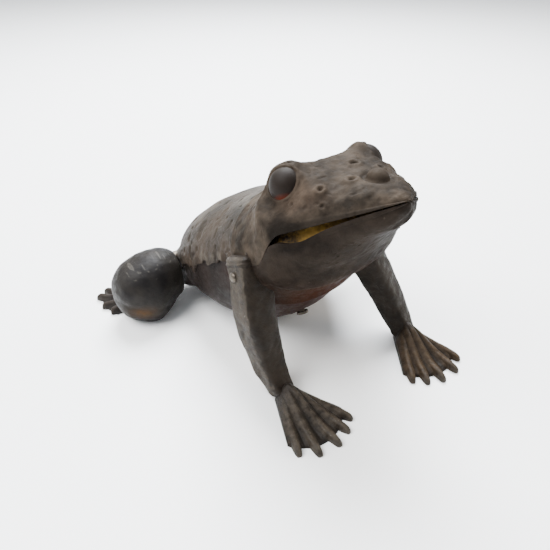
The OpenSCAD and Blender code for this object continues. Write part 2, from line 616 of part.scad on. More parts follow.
module click() {
  reach = winding_at + (ratchet_r + click_clear) * [cos(click_angle - 38), sin(click_angle - 38)];
  side = reach + 1.1 * [cos(click_angle - 20), sin(click_angle - 20)];
  color("silver") on_axis() difference() {
    union() {
      rod(click_at, pin_r + 0.8, ratchet_x, ratchet_x + gear_t);
      across(ratchet_x, ratchet_x + gear_t) polygon([click_at + [0.2, -1], reach, side, click_at + [0.6, 1.1]]);
    }
    rod(click_at, pin_r + rivet_gap, ratchet_x - 1, ratchet_x + gear_t + 1);
  }
}
module click_spring() {
  back = click_at + [-1.2, 1.7];
  color("steelblue") on_axis() difference() {
    union() {
      rod(spring_pin, pin_r + 0.7, ratchet_x, ratchet_x + gear_t);
      across(ratchet_x, ratchet_x + gear_t)
        polygon([spring_pin + [-0.6, 1.1], back + [0, 0.3], back + [2.6, 0.3], back + [2.6, 0], back,
                 spring_pin + [0.2, 0.9]]);
    }
    rod(spring_pin, pin_r + seat_gap, ratchet_x - 1, ratchet_x + gear_t + 1);
  }
}
module second_arbor() {
  color("silver") on_axis()
    staff(second_at, pinion_teeth, great_x - 0.7, gear_t + 1.4, second_dir + 180);
}
module second_wheel() {
  color("gold") on_axis()
    wheel(second_at, second_teeth, second_x, gear_t, staff_r + seat_gap, cam_dir, 5);
}
module cam_arbor() {
  color("silver") on_axis()
    staff(cam_at, pinion_teeth, second_x - 0.5, gear_t + 1, cam_dir + 180);
}
module cam_wheel() {
  color("gold") on_axis()
    wheel(cam_at, cam_teeth, cam_wheel_x, cam_wheel_t, staff_r + seat_gap, fly_dir, 4);
}
cam_low = 2.6;
module kick_cam() {
  n = 30;
  color("silver") on_axis() difference() {
    across(cam_x, cam_x + cam_t) translate(cam_at)
      polygon([for (i = [0:n]) let(t = i / n)
        (cam_low + (lobe_r - cam_low) * t) * [cos(330 * t), sin(330 * t)]]);
    rod(cam_at, staff_r + seat_gap, -body_w, body_w);
  }
}
module fly_arbor() {
  color("silver") on_axis()
    staff(fly_at, fly_teeth, cam_wheel_x - 0.3, cam_wheel_t + 0.7, fly_dir + 180);
}
vane_r = 4.5;
vane_x = [1.5, second_x - 1.2];
module fly_vane() {
  color("silver") on_axis() difference() {
    union() {
      rod(fly_at, staff_r + 0.7, vane_x[0], vane_x[1]);
      across(vane_x[0], vane_x[1]) translate(fly_at)
        rotate(20) translate([-vane_r, -0.25]) square([2 * vane_r, 0.5]);
    }
    rod(fly_at, staff_r + seat_gap, -body_w, body_w);
  }
}

back_shell();
belly_shell();
head_shell();
jaw_shell();
mouth_plate();
right_eye();
left_eye();
right_foreleg();
left_foreleg();
shoulder_rivets();
right_motor_plate();
left_motor_plate();
pillars();
pillar_nuts();
mount_bars();
belly_screws();
mainspring();
return_spring();
hip_bushes();
winding_arbor();
ratchet_wheel();
key_hub();
key_bow();
great_wheel();
click_rivet();
click();
click_spring();
second_arbor();
second_wheel();
cam_arbor();
cam_wheel();
kick_cam();
fly_arbor();
fly_vane();
hip_axle();
kick_lever();
right_thigh();
left_thigh();
right_thigh_plate();
left_thigh_plate();
right_hind_foot();
left_hind_foot();
hip_nuts();
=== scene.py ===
import math

import bmesh
import bpy
import numpy as np
from mathutils import Matrix


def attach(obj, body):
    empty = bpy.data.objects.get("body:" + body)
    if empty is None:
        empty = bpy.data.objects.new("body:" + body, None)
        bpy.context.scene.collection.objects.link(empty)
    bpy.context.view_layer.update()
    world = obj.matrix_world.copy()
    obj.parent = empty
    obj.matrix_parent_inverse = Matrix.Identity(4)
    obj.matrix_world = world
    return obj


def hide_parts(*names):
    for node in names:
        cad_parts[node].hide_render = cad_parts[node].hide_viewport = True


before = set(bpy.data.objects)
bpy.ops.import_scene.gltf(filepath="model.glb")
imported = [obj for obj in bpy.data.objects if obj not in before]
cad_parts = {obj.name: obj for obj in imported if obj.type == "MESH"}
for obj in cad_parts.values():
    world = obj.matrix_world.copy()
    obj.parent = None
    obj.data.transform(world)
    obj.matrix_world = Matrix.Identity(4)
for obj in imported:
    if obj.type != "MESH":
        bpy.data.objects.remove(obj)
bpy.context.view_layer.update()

# ---- The table, the daylight and the camera
# The frog stands on a white tabletop near a window. The light is broad and soft and comes mostly
# from above and behind it, so its upper faces are pale and its fronts and its throat stay dark.
elevation, turn, roll = (math.radians(angle) for angle in (38.38, -34.13, 0.335))
target = np.array([0, 0.0181, 0])
distance = 0.22808
away = np.array([math.sin(turn) * math.cos(elevation), -math.cos(turn) * math.cos(elevation),
                 math.sin(elevation)])
level = np.cross(-away, [0, 0, 1])
level /= np.linalg.norm(level)
upright = np.cross(level, -away)
right = math.cos(roll) * level + math.sin(roll) * upright
up = math.cos(roll) * upright - math.sin(roll) * level
lens = bpy.data.cameras.new("camera")
lens.sensor_width, lens.lens = 36, 32.715
lens.shift_x, lens.shift_y = 0.00955, 0.0373
lens.clip_start = 0.005
camera = bpy.data.objects.new("camera", lens)
bpy.context.collection.objects.link(camera)
placed = np.eye(4)
placed[:3, :3] = np.stack([right, up, away], 1)
placed[:3, 3] = target + away * distance
camera.matrix_world = Matrix(placed.tolist())
bpy.context.scene.camera = camera


def shade(code):
    """The linear colour of an sRGB hex value: each channel is turned by the sRGB curve."""
    parts = [int(code[i:i + 2], 16) / 255 for i in (1, 3, 5)]
    return [c / 12.92 if c <= 0.04045 else ((c + 0.055) / 1.055) ** 2.4 for c in parts] + [1]


def add(tree, kind, links=(), **settings):
    """Adds one node. A setting is a property of the node, or the value of the input that has its name
    with _ for a space, and each link joins another node's output to an input, both by name or number."""
    new = tree.nodes.new("ShaderNode" + kind)
    for key, value in settings.items():
        if hasattr(new, key):
            setattr(new, key, value)
        else:
            new.inputs[key.replace("_", " ")].default_value = value
    for source, output, entry in links:
        tree.links.new(source.outputs[output], new.inputs[entry])
    return new


table = bpy.data.meshes.new("table")
half = 3
corners = [(-half, -half, 0), (half, -half, 0), (half, half, 0), (-half, half, 0)]
table.from_pydata(corners, [], [(0, 1, 2, 3)])
table_top = bpy.data.objects.new("table_top", table)
bpy.context.collection.objects.link(table_top)
laminate = bpy.data.materials.new("white_laminate")
laminate.use_nodes = True
laminate.node_tree.nodes["Principled BSDF"].inputs["Base Color"].default_value = shade("#fafbfb")
laminate.node_tree.nodes["Principled BSDF"].inputs["Roughness"].default_value = 0.55
table.materials.append(laminate)

sky = bpy.data.worlds.new("room")
sky.use_nodes = True
sky.node_tree.nodes["Background"].inputs["Color"].default_value = shade("#f3f6fa")
sky.node_tree.nodes["Background"].inputs["Strength"].default_value = 0.76
bpy.context.scene.world = sky
for name, place, size, power, colour in (
    ("window", (0.24, 0.38, 0.60), 0.42, 25.0, "#f8fbff"),
    ("ceiling", (-0.40, 0.14, 0.62), 0.5, 13.0, "#ffffff"),
    ("room_wall", (0.55, -0.34, 0.30), 0.4, 3.2, "#fff2e0"),
):
    lamp = bpy.data.lights.new(name, "AREA")
    lamp.size, lamp.energy, lamp.color = size, power, shade(colour)[:3]
    source = bpy.data.objects.new(name, lamp)
    bpy.context.collection.objects.link(source)
    facing = np.array(place) - [0, 0, 0.03]
    facing = facing / np.linalg.norm(facing)
    side = np.cross([0, 1, 0.01], facing)
    side /= np.linalg.norm(side)
    aim = np.eye(4)
    aim[:3, :3] = np.stack([side, np.cross(facing, side), facing], 1)
    aim[:3, 3] = place
    source.matrix_world = Matrix(aim.tolist())

# ---- Back
# The frog's back is one pressed sheet of tinplate, coated in thick dark lacquer that has dried in
# soft dents, and its lower edge is crimped by hand over the top of the belly, so the hem is ragged.
body_len, body_w, back_rise, belly_drop = 86, 67, 24, 29
pitch, seat = math.radians(31), (21, 25.6)
skin, lap_gap = 0.6, 0.3
body_back, rump_cap, body_round = 42, 16, 2.2
back_out = skin + lap_gap
body_rows = [[0, 0.66, 0.77, 0.22], [0.16, 0.85, 0.87, 0.39], [0.32, 0.985, 0.96, 0.65],
             [0.48, 1, 1, 0.95], [0.64, 0.94, 0.955, 0.99], [0.80, 0.88, 0.917, 0.79],
             [0.9, 0.857, 0.892, 0.58], [1, 0.836, 0.867, 0.45]]


def along(rows, s):
    """A smooth curve through rows of [place, values...]: between two rows it is the Hermite cubic whose
    slope at each row is that of the line through that row's neighbours. Outside the rows it stays level."""
    rows = np.asarray(rows, float)
    x, v = rows[:, 0], rows[:, 1:]
    lo, hi = np.maximum(np.arange(len(x)) - 1, 0), np.minimum(np.arange(len(x)) + 1, len(x) - 1)
    slope = (v[hi] - v[lo]) / (x[hi] - x[lo])[:, None]
    i = np.clip(np.searchsorted(x, s, side="right") - 1, 0, len(x) - 2)
    h = x[i + 1] - x[i]
    t, h = np.clip((s - x[i]) / h, 0, 1)[..., None], h[..., None]
    return ((2 * t ** 3 - 3 * t ** 2 + 1) * v[i] + (t ** 3 - 2 * t ** 2 + t) * h * slope[i]
            + (3 * t ** 2 - 2 * t ** 3) * v[i + 1] + (t ** 3 - t ** 2) * h * slope[i + 1])


def bend(c, p):
    """A unit circle's coordinate c, moved to a superellipse of power p: the sign of c times |c|^(2/p)."""
    return np.sign(c) * np.abs(c) ** (2 / p)


def dome(s):
    """A quarter circle: rises from 0 at s = 0 to 1 at s = 1, upright at the start."""
    return np.sqrt(np.clip(1 - (1 - np.clip(s, 0, 1)) ** 2, 0, None))


def ramp(t):
    """A soft step: 0 up to t = 0, 1 from t = 1, and 3t^2 - 2t^3 between."""
    t = np.clip(t, 0, 1)
    return t * t * (3 - 2 * t)


def bump(distance_mm, width_mm):
    """A round hill, 1 at the middle: e to the power of minus the square of distance over width."""
    return np.exp(-(distance_mm / width_mm) ** 2)


def mottle(p, size, seed=0):
    """Smooth noise from -1 to 1 whose patches are `size` mm across, one number or one per axis. Each
    corner of a grid of cells has a number hashed from its place, and ramps blend the eight round a point."""
    q = np.asarray(p, float) / size + 7.31 * seed
    cell = np.floor(q).astype(np.int64)
    f = q - cell
    f = f * f * (3 - 2 * f)
    total = 0
    for corner in np.ndindex(2, 2, 2):
        k = cell + corner
        h = k[..., 0] * 73856093 ^ k[..., 1] * 19349663 ^ k[..., 2] * 83492791 ^ (seed + 1) * 2654435
        h = h & 0xFFFFFFF
        h = (h ^ h >> 13) * 1274126177 & 0xFFFFFFF
        total = total + ((h ^ h >> 11) & 0xFFFFF) / 0x7FFFF * np.prod(np.where(corner, f, 1 - f), -1)
    return total - 1


def outward(grid, middle):
    """The unit normal at each point of a grid, as the cross product of the steps along its two directions,
    turned away from the point `middle`."""
    normal = np.cross(np.gradient(grid, axis=0), np.gradient(grid, axis=1))
    normal /= np.linalg.norm(normal, axis=-1, keepdims=True) + 1e-12
    return normal * np.where(np.sum(normal * (grid - middle), -1, keepdims=True) < 0, -1, 1)


def body_pt(u, a, d=0):
    """A point of the body, u mm from the rump along its axis and at the angle a round it from the top, d
    mm proud of the belly's skin: a superellipse whose half width and height follow body_rows, closed by a
    dome at the rump."""
    u, a = np.broadcast_arrays(np.asarray(u, float), np.asarray(a, float))
    row, close = along(body_rows, u / body_len), dome((u + d) / (rump_cap + d))
    w = (row[..., 0] * body_w / 2 + d) * close
    h = np.where(np.cos(a) >= 0, row[..., 1] * back_rise + d, row[..., 2] * belly_drop + d) * close
    return np.stack([w * bend(np.sin(a), body_round), body_back - u, h * bend(np.cos(a), body_round)], -1)


def standing(p):
    """From the body's own frame to the frog standing: turned by the pitch about X, then moved to its seat."""
    y, n = p[..., 1], p[..., 2]
    return np.stack([p[..., 0], seat[0] + y * math.cos(pitch) + n * math.sin(pitch),
                     seat[1] - y * math.sin(pitch) + n * math.cos(pitch)], -1)


def skin_piece(name, outer, inner=None, ring=False, **marks):
    """A mesh from a grid of outer points in mm, and, for a sheet, a grid of inner points turned over and four
    strips that join their edges. A ring grid's last column is its first again. Points that coincide, at a
    pole or a seam, are merged. Each mark is an array over the outer grid, kept as a vertex attribute."""
    rows, cols = outer.shape[:2]
    grids = [outer] if inner is None else [outer, inner]
    index = np.arange(len(grids) * rows * cols).reshape(len(grids), rows, cols)

    def cells(g):
        return np.stack([g[:-1, :-1], g[1:, :-1], g[1:, 1:], g[:-1, 1:]], -1).reshape(-1, 4)

    faces = [cells(index[0])]
    rims = []
    if inner is not None:
        o, i = index
        faces.append(cells(i)[:, ::-1])
        rims = [np.stack([o[0, :-1], o[0, 1:], i[0, 1:], i[0, :-1]], -1),
                np.stack([o[-1, 1:], o[-1, :-1], i[-1, :-1], i[-1, 1:]], -1)]
        if not ring:
            rims += [np.stack([o[1:, 0], o[:-1, 0], i[:-1, 0], i[1:, 0]], -1),
                     np.stack([o[:-1, -1], o[1:, -1], i[1:, -1], i[:-1, -1]], -1)]
    smooth = sum(len(f) for f in faces)
    faces = np.concatenate(faces + rims)
    points = np.concatenate([g.reshape(-1, 3) for g in grids]) * 0.001
    mesh = bpy.data.meshes.new(name)
    mesh.from_pydata(points.tolist(), [], faces.tolist())
    mesh.polygons.foreach_set("use_smooth", np.arange(len(faces)) < smooth)
    for key, values in marks.items():
        flat = np.broadcast_to(np.asarray(values, float), (rows, cols)).ravel()
        mesh.attributes.new(key, "FLOAT", "POINT").data.foreach_set("value", np.tile(flat, len(grids)))
    work = bmesh.new()
    work.from_mesh(mesh)
    bmesh.ops.remove_doubles(work, verts=work.verts, dist=2e-6)
    if work.calc_volume(signed=True) < 0:
        bmesh.ops.reverse_faces(work, faces=work.faces)
    work.to_mesh(mesh)
    work.free()
    piece = bpy.data.objects.new(name, mesh)
    bpy.context.collection.objects.link(piece)
    return piece


def finished(piece, body, slot, material, *replaced):
    """Puts the material on a piece, and says what it rides on and the nodes it stands for. The slot is not
    used.
    """
    piece.data.materials.append(material)
    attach(piece, body)
    if replaced:
        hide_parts(*replaced)


speck_mm, grit_mm = 0.7, 2.2


def lacquer(name, deep, body_tone, worn_and_lit, warm, patch_mm, roughness, pits, gloss=0.12):
    """Old dark lacquer over tinplate: a matt film, IOR 1.5, mottled between `deep` and `body_tone`, with
    `worn_and_lit` where the mark `high` is above zero, partly worn and dusty high places and partly painted
    highlight, and `warm` where the mark `rust` says. The marks `high` and `rust` come with the mesh, and
    where `high` is below zero the film is darkened towards a darker `deep`, as painted shade.
    Brush mottling is patch_mm across, grit grit_mm and dust specks speck_mm."""
    material = bpy.data.materials.new(name)
    material.use_nodes = True
    tree = material.node_tree
    shader = tree.nodes["Principled BSDF"]
    shader.inputs["Specular IOR Level"].default_value = gloss
    place = add(tree, "TexCoord")
    high = add(tree, "Attribute", attribute_name="high")
    rust = add(tree, "Attribute", attribute_name="rust")
    at = [(place, "Object", "Vector")]
    patches = add(tree, "TexNoise", at, Scale=1000 / patch_mm, Detail=5, Roughness=0.6)
    dust = add(tree, "TexNoise", at, Scale=1000 / speck_mm, Detail=3, Roughness=0.7)
    grit = add(tree, "TexNoise", at, Scale=1000 / grit_mm, Detail=4, Roughness=0.62)
    base = add(tree, "ValToRGB", [(patches, "Fac", "Fac")])
    base.color_ramp.elements[0].position, base.color_ramp.elements[0].color = 0.36, shade(deep)
    base.color_ramp.elements[1].position, base.color_ramp.elements[1].color = 0.6, shade(body_tone)
    # Painted shade: where the mark high is below zero, the colour is mixed towards a darker deep.
    painted_shade = add(tree, "MapRange", [(high, "Fac", "Value")], From_Min=-0.12, From_Max=-0.8)
    dimmed = add(tree, "Mix", [(painted_shade, 0, 0), (base, "Color", 6)], data_type="RGBA")
    dimmed.inputs[7].default_value = [0.55 * c for c in shade(deep)[:3]] + [1]
    # Paler where the mark high is above zero: worn and dusty high places, and painted highlight on tops and
    # lit sides.
    lift = add(tree, "Math", [(high, "Fac", 0), (grit, "Fac", 1)], operation="MULTIPLY_ADD")
    lift.inputs[2].default_value = -0.33
    amount = add(tree, "MapRange", [(lift, 0, "Value")], From_Min=-0.14, From_Max=0.36)
    paler = add(tree, "Mix", [(amount, 0, 0), (dimmed, 2, 6)], data_type="RGBA")
    paler.inputs[7].default_value = shade(worn_and_lit)
    sparkle = add(tree, "MapRange", [(dust, "Fac", "Value")], From_Min=0.62, From_Max=0.74, To_Max=0.5)
    specks = add(tree, "Math", [(sparkle, 0, 0), (amount, 0, 1)], operation="MULTIPLY")
    dusted = add(tree, "Mix", [(specks, 0, 0), (paler, 2, 6)], data_type="RGBA")
    dusted.inputs[7].default_value = shade("#c9c5bd")
    worn = add(tree, "Math", [(rust, "Fac", 0), (grit, "Fac", 1)], operation="MULTIPLY", use_clamp=True)
    worn_more = add(tree, "Math", [(worn, 0, 0)], operation="MULTIPLY", use_clamp=True)
    worn_more.inputs[1].default_value = 1.9
    warmed = add(tree, "Mix", [(worn_more, 0, 0), (dusted, 2, 6)], data_type="RGBA")
    warmed.inputs[7].default_value = shade(warm)
    tree.links.new(warmed.outputs[2], shader.inputs["Base Color"])
    dull = add(tree, "MapRange", [(grit, "Fac", "Value")], From_Min=0.3, From_Max=0.7,
               To_Min=roughness - 0.12, To_Max=roughness + 0.14)
    tree.links.new(dull.outputs[0], shader.inputs["Roughness"])
    film = add(tree, "Bump", [(dust, "Fac", "Height")], Strength=pits, Distance=0.00025)
    pitted = add(tree, "Bump", [(grit, "Fac", "Height"), (film, "Normal", "Normal")],
                 Strength=pits, Distance=0.0006)
    tree.links.new(pitted.outputs["Normal"], shader.inputs["Normal"])
    return material


def upness(grid, middle):
    """How far a surface faces the sky once the frog stands: the standing normal's Z, from 0 to 1."""
    return np.clip(outward(standing(grid), standing(np.asarray(middle, float))) @ [0, 0.12, 0.99], 0, 1)


hip_place, haunch_x = (23.6, 5.6), 33.9
haunch_r, haunch_fade, haunch_top, leg_sweep = 11, 6, 10.5, 20


def haunch(grid, out_to):
    """Swells the body's skin sideways round the hip axle: within haunch_r of it a point goes out to the
    distance out_to from the middle plane, and over the next haunch_fade mm, and up to haunch_top, less and
    less. Nothing within leg_sweep of the axle stands further out, so that the leg can swing. Gives the
    grid and the share moved."""
    from_hip = np.hypot(grid[..., 1] - hip_place[0], grid[..., 2] - hip_place[1])
    share = (ramp((haunch_r + haunch_fade - from_hip) / haunch_fade) * ramp((np.abs(grid[..., 0]) - 14) / 8)
             * ramp((haunch_top - grid[..., 2]) / 6))
    wide = np.abs(grid[..., 0]) + np.maximum(out_to - np.abs(grid[..., 0]), 0) * share
    wide = np.minimum(wide, out_to + 0.1 + 4 * ramp((from_hip - leg_sweep) / 4))
    return np.stack([np.sign(grid[..., 0]) * wide, grid[..., 1], grid[..., 2]], -1), share


hem_turn = math.radians(87)
u, t = np.linspace(0, body_len, 240)[:, None], np.linspace(-1, 1, 330)[None, :]
crimp = np.stack(np.broadcast_arrays(u, 40 * np.sign(t), 0 * t), -1)
edge = hem_turn + np.radians(3.2 * mottle(crimp, 5.5, 3) + 3.4 * mottle(crimp, 1.9, 4))
a = t * edge
plain = body_pt(u, a, back_out)
dents = mottle(np.stack([u + 0 * t, 26 * a, 0 * u * t], -1), (3.2, 5.2, 1), 1)
pores = mottle(np.stack([u + 0 * t, 26 * a, 0 * u * t], -1), (1.7, 2.4, 1), 2)
low = ramp((np.abs(t) - 0.66) / 0.3)
relief = (1.3 * np.minimum(dents + 0.35, 0) * (1 + 0.6 * low) + 1.9 * np.minimum(pores + 0.45, 0)
          + 0.3 * mottle(plain, 9, 5))
hem = ramp((np.abs(t) - 0.86) / 0.1)
relief = relief + hem * (0.9 * mottle(crimp + 3 * t[..., None], (1.5, 3, 1), 6) + 0.4) * ramp(u / 8)
back_grid = plain + outward(plain, [0, 0, 0]) * (relief * ramp((body_len - u) / 3) - 0.1)[..., None]
back_grid, swell = haunch(back_grid, haunch_x)
back_inside, _ = haunch(body_pt(u, a, lap_gap), haunch_x - skin)
crumbs = 0.34 * hem * ramp(mottle(crimp, 1.6, 7) + 0.6)
patina = lacquer("dark_lacquer_back", "#1a1713", "#332c25", "#6a645a", "#38261c",
                 patch_mm=12, roughness=0.6, pits=0.55)
# The mark high: faces turned to the sky are paler, partly dust and partly painted highlight; the dents and
# the swell round the hip are darker, as painted shade; the crimps of the hem are paler.
back = skin_piece("back_skin", standing(back_grid), standing(back_inside), rust=0.1 * low,
                  high=(0.60 * upness(plain, [0, 0, 0]) ** 1.5 + 0.6 * np.minimum(relief, 0.25) + crumbs
                        - 0.5 * swell ** 2))
finished(back, "body", "patina", patina, "back_shell")

# ---- Belly
# The belly is a second pressing, smoother than the back. Its lacquer is thin and has worn to a
# red-brown rust along the keel, and it is drawn into a few upright folds where it meets a foreleg.
u, t = np.linspace(0, body_len, 200)[:, None], np.linspace(-1, 1, 300)[None, :]
belly_turn = math.radians(103)
a = math.pi + t * belly_turn
plain = body_pt(u, a, 0)
folds = np.sin(u / 0.5) * bump(u - 67, 4.5) * bump(np.abs(t) - 0.83, 0.16)
relief = 0.22 * mottle(plain, (7, 10, 7), 11) + 0.12 * mottle(plain, 2.6, 12) + 0.35 * folds
relief = relief * ramp((0.9 - np.abs(t)) / 0.06)
belly_grid, _ = haunch(plain + outward(plain, [0, 0, 0]) * relief[..., None], haunch_x - back_out)
belly_inside, _ = haunch(body_pt(u, a, -skin), haunch_x - back_out - skin)
keel = bump(np.abs(t), 0.42) + 0.9 * bump(u - 70, 7) * bump(np.abs(t) - 0.8, 0.12)
patina = lacquer("thin_lacquer_belly", "#100c0a", "#1c1512", "#3a312a", "#331a10",
                 patch_mm=11, roughness=0.55, pits=0.4)
belly = skin_piece("belly_skin", standing(belly_grid), standing(belly_inside),
                   high=0.02 + 0.3 * relief, rust=0.5 * keel)
finished(belly, "body", "rust_patina", patina, "belly_shell")

# ---- Head
# The top of the head is pressed in one piece with its two brows, and its collar laps over the back.
# Knobs, craters and warts were punched from inside, and the upper lip is turned under to a blunt edge.
head_len, head_w, head_rise, jaw_drop = 55.5, 60, 20, 28.5
head_u, mouth_n, snout_cap, head_round = body_len - 13, 8.3, 9, 2.3
brow_height, brow_at, brow_turn, brow_len, brow_spread = 5.5, 0.58, 40, 10, 20
collar_from, collar_to = 0.5, 0.74
eye_r, basin_r = 5.9, 15
head_rows = [[0, 0.14, 0.18, 0.17], [0.07, 0.26, 0.26, 0.21], [0.16, 0.37, 0.35, 0.24],
             [0.28, 0.52, 0.49, 0.30], [0.42, 0.73, 0.69, 0.42], [0.55, 0.87, 0.90, 0.56],
             [0.72, 0.93, 0.975, 0.74], [0.86, 0.955, 0.965, 0.88], [1, 0.985, 0.88, 1]]


def head_pt(s, a, d=0):
    """A point of the head, the share s of its length back from the snout and at the angle a round it from the
    crown, d mm proud: a superellipse that follows head_rows, blended towards the collar into the body's own
    shape, with a round hill on each side for the brow."""
    s, a = np.broadcast_arrays(np.asarray(s, float), np.asarray(a, float))
    row, close = along(head_rows, s), dome((s * head_len + d) / (snout_cap + d))
    brow = brow_height * bump((s - brow_at) * head_len, brow_len)
    brow = brow * bump(np.abs(np.degrees(a)) - brow_turn, brow_spread)
    brow = np.where(np.cos(a) >= 0, brow, 0)
    w = (row[..., 0] * head_w / 2 + d) * close
    h = np.where(np.cos(a) >= 0, row[..., 1] * head_rise + d, row[..., 2] * jaw_drop + d) * close
    across, rise = bend(np.sin(a), head_round), bend(np.cos(a), head_round)
    own = np.stack([w * across, body_back - head_u - head_len + s * head_len, mouth_n + h * rise], -1)
    over = body_pt(head_u + (1 - s) * head_len, a, back_out + lap_gap + d)
    k = ramp((s - collar_from) / (collar_to - collar_from))[..., None]
    return own * (1 - k) + over * k + np.stack([brow * across, 0 * brow, brow * rise], -1)


def eye_frame(side):
    """The middle of an eye in the body's frame, and the way that it looks: out, forward and a little up."""
    tilt, swing = math.radians(66), math.radians(24)
    middle = np.array([side * 16, body_back - head_u - head_len + 0.485 * head_len + 4.6, mouth_n + 13.3])
    return middle, np.array([side * math.sin(tilt) * math.cos(swing), -math.sin(tilt) * math.sin(swing),
                             math.cos(tilt)])


def lids(grid):
    """Shapes the skin round each eye. Along the eye's own axis it is lowered into a basin, less and less
    out to basin_r from it. Then no point stays nearer the ball's middle than the lid: the larger of the
    two distances is taken, softly. The lid's distance is inside the ball where the eye is open, and grows
    with the angle off the look axis, most above the eye, where it swells into a hood."""
    for side in (-1, 1):
        middle, look = eye_frame(side)
        q = grid - middle
        depth = q @ look
        flat = q - depth[..., None] * look
        r = np.linalg.norm(flat, axis=-1)
        over = flat @ [0, 0.42, 0.91] / (r + 1e-6)
        proud = depth - 2.2
        lowered = 0.5 * (proud + np.sqrt(proud ** 2 + 0.6)) * ramp((basin_r - r) / 9)
        q = q - lowered[..., None] * look
        rho = np.linalg.norm(q, axis=-1)
        off = np.degrees(np.arccos(np.clip((q @ look) / rho, -1, 1)))
        opens = 58 - 22 * np.maximum(over, 0) - 6 * np.maximum(-over, 0)
        lid = (eye_r - 1.1 + 1.5 * ramp((off - opens) / 12)
               + 1.0 * ramp(over + 0.3) * ramp((off - opens - 4) / 40))
        grid = middle + q * (0.5 * (rho + lid + np.sqrt((rho - lid) ** 2 + 1.2)) / rho)[..., None]
    return grid


def mouth_corner_shade(s, t):
    """The painted shade in the hollow where the lips meet: a round hill 4.5 mm wide along the head, near its
    lower edge only.
    """
    return bump((s - 0.49) * head_len, 4.5) * ramp((np.abs(t) - 0.72) / 0.2)


s, t = np.linspace(-skin / head_len, 1, 260)[:, None], np.linspace(-1, 1, 340)[None, :]
a = t * math.pi / 2
plain = head_pt(s, a, skin)
lidded = lids(plain)
out = outward(lidded, [0, -45, mouth_n])
relief = (0.4 * mottle(plain, 7, 21) + 0.28 * mottle(plain, 2.4, 22)
          + 0.7 * np.minimum(mottle(plain, 1.7, 25) + 0.55, 0))
craters = ((0.255, -17.4, 1.25, 0.95), (0.40, 7.5, 1.35, 0.95), (0.33, -44.3, 1.0, 0.7),
           (0.30, -68, 0.8, 0.45), (0.30, 26, 1.0, 0.7), (0.45, -62, 0.8, 0.45),
           (0.36, 50, 1.0, 0.6), (0.22, 52, 0.8, 0.5))
for at, turned, wide, high in craters:
    gap = np.linalg.norm(plain - head_pt(at, math.radians(turned), skin), axis=-1)
    relief = relief + high * (0.75 * bump(gap - 1.3 * wide, 0.8 * wide) - 0.8 * bump(gap, 0.8 * wide))
knob, knob_r, knob_rise = head_pt(0.187, math.radians(3.5), skin), 3.1, 2.3
gap = np.linalg.norm((plain - knob) * [1, 0.8, 1], axis=-1)
on_knob = dome((knob_r - gap) / knob_r)
relief = relief + knob_rise * on_knob - 0.7 * bump(gap - 3.9, 0.8)
snout = ramp((0.20 - s) / 0.16)
relief = relief + (0.3 * mottle(plain, 2.3, 23) + 0.12 * mottle(plain, 1.2, 24)) * snout * (1 - on_knob)
relief = relief + 0.45 * ramp((np.abs(t) - 0.9) / 0.06) * ramp((0.58 - s) / 0.12)
relief = relief - 0.5 * bump(np.abs(t) - 0.28, 0.05) * bump((s - 0.46) * head_len, 3)
still = ramp((1 - s) * head_len / 2)
head_grid = lidded + out * (relief * still)[..., None]
lip_shadow = ramp((np.abs(t) - 0.9) / 0.05) * ramp((0.62 - s) / 0.1)
crown_light_and_wear = (-0.3 + 0.85 * ramp((s - 0.6) / 0.35)) * upness(plain, [0, -45, mouth_n]) ** 1.3
patina = lacquer("dark_lacquer_head", "#201c18", "#3e362e", "#635c52", "#3f2b1f",
                 patch_mm=10, roughness=0.66, pits=0.5, gloss=0.03)
# The mark high: painted shade along the upper lip, in the mouth's corner, over the nose knob and in the pits
# of the craters; the up-facing crown is paler towards the collar and darker towards the snout, partly painted
# light and partly wear.
head = skin_piece("head_skin", standing(head_grid), standing(lidded - skin * out),
                  high=(crown_light_and_wear + 0.3 * relief - 0.9 * on_knob - 0.6 * lip_shadow
                        - 0.7 * mouth_corner_shade(s, t)),
                  rust=0.16 * bump(np.abs(t) - 0.62, 0.2) * bump(s - 0.42, 0.12))
finished(head, "body", "patina", patina, "head_shell")

# ---- Jaw
# The lower jaw and throat are one pressing that hooks under the belly. Its lip stands proud, it hangs
# lower towards the corners of the mouth, and its film is thin and brown with a few pale chips.
parted_rows = [[0, 0.4], [0.1, 0.6], [0.2, 1.0], [0.3, 1.8], [0.36, 2.7], [0.42, 3.5], [0.48, 3.2],
               [0.54, 1.7], [0.6, 0.3], [1, 0.08]]


def parted(s, t):
    """How far the jaw's skin hangs below the head's, mm: at the lip, where |t| is 1, it follows
    parted_rows, and at the throat it is a quarter of that."""
    return along(parted_rows, s)[..., 0] * (0.25 + 0.75 * np.abs(t) ** 2)


s, t = np.linspace(-skin / head_len, 1, 230)[:, None], np.linspace(-1, 1, 320)[None, :]
a = math.pi + t * math.pi / 2
opening = parted(s, t)
drop = np.stack([0 * opening, 0 * opening, opening], -1)
plain = head_pt(s, a, skin) - drop
lip = ramp((np.abs(t) - 0.86) / 0.08) * ramp((0.64 - s) / 0.12)
snout = ramp((0.24 - s) / 0.2)
relief = (0.3 * mottle(plain, 7, 21) + 0.14 * mottle(plain, 2.0, 22) + 0.5 * lip
          + snout * (0.35 * mottle(plain, 2.6, 33) + 0.15 * mottle(plain, 1.3, 34)))
wart = mottle(plain, 1.7, 35)
relief = relief + 0.45 * ramp((wart - 0.6) / 0.25) * bump(s - 0.36, 0.16) * bump(np.abs(t) - 0.45, 0.4)
still = ramp((1 - s) * head_len / 2)
jaw_grid = plain + outward(plain, [0, -45, mouth_n]) * (relief * still)[..., None]
chips = ramp((wart - 0.72) / 0.15)
patina = lacquer("thin_lacquer_jaw", "#171310", "#27211c", "#544d44", "#351d12",
                 patch_mm=10, roughness=0.62, pits=0.45, gloss=0.03)
